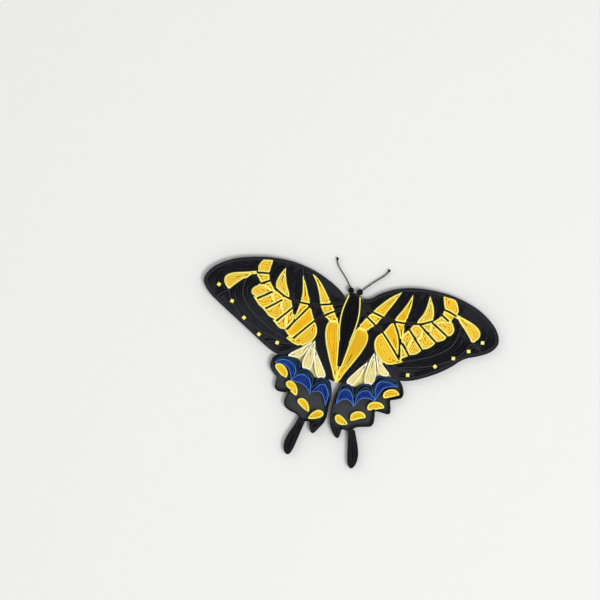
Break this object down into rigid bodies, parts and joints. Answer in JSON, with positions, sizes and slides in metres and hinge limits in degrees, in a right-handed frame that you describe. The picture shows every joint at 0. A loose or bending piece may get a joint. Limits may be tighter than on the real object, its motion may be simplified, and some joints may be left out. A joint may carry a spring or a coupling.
{
  "type": "quilled paper butterfly",
  "caption": "Quilled paper butterfly: wound and pinched paper strip coils standing on edge on a die-cut back sheet, with stacked strip rims, veins and antennae.",
  "frame": {"origin": "on the body's centre line, at the underside of the back sheet, level with the lower end of the side strips", "axes": "+X to the butterfly's wing on the right as seen from above, +Y towards the head, +Z out of the paper"},
  "size_m": [0.1072, 0.0724, 0.0036],
  "materials": {
    "black_paper": "black quilling strip, standing on edge",
    "charcoal_card": "smooth charcoal card",
    "yellow_paper": "golden yellow quilling strip with paler outer turns",
    "cream_paper": "cream quilling strip",
    "pale_yellow_paper": "pale yellow paper",
    "blue_paper": "royal blue quilling strip",
    "teal_paper": "very dark teal quilling strip"
  },
  "bodies": {
    "root": {"abdomen_coil": "black_paper", "base_sheet": "charcoal_card", "left_antenna": "black_paper", "left_apex_coil": "black_paper", "left_apical_coil": "yellow_paper", "left_band_coils": "yellow_paper", "left_blue_arc_coils": "blue_paper", "left_costal_coils": "yellow_paper", "left_cream_coils": "cream_paper", "left_cream_ground": "pale_yellow_paper", "left_crescent_coils": "black_paper", "left_dark_arc_coils": "teal_paper", "left_eye_coil": "black_paper", "left_fan_coil": "yellow_paper", "left_flank_coil": "yellow_paper", "left_forewing_diamonds": "cream_paper", "left_forewing_rim": "black_paper", "left_forewing_veins": "black_paper", "left_halfmoon_coils": "yellow_paper", "left_hindwing_rim": "black_paper", "left_horn_coil": "yellow_paper", "left_inner_margin_coil": "black_paper", "left_inner_streak_coils": "yellow_paper", "left_leading_edge_coil": "black_paper", "left_lobe_coil": "black_paper", "left_margin_coils": "black_paper", "left_middle_streak_coils": "yellow_paper", "left_side_strip": "yellow_paper", "left_tail_coil": "black_paper", "left_wedge_coils": "black_paper", "right_antenna": "black_paper", "right_apex_coil": "black_paper", "right_apical_coil": "yellow_paper", "right_band_coils": "yellow_paper", "right_blue_arc_coils": "blue_paper", "right_costal_coils": "yellow_paper", "right_cream_coils": "cream_paper", "right_cream_ground": "pale_yellow_paper", "right_crescent_coils": "black_paper", "right_dark_arc_coils": "teal_paper", "right_eye_coil": "black_paper", "right_fan_coil": "yellow_paper", "right_flank_coil": "yellow_paper", "right_forewing_diamonds": "cream_paper", "right_forewing_rim": "black_paper", "right_forewing_veins": "black_paper", "right_halfmoon_coils": "yellow_paper", "right_hindwing_rim": "black_paper", "right_horn_coil": "yellow_paper", "right_inner_margin_coil": "black_paper", "right_inner_streak_coils": "yellow_paper", "right_leading_edge_coil": "black_paper", "right_lobe_coil": "black_paper", "right_margin_coils": "black_paper", "right_middle_streak_coils": "yellow_paper", "right_side_strip": "yellow_paper", "right_tail_coil": "black_paper", "right_wedge_coils": "black_paper"}
  },
  "joints": []
}
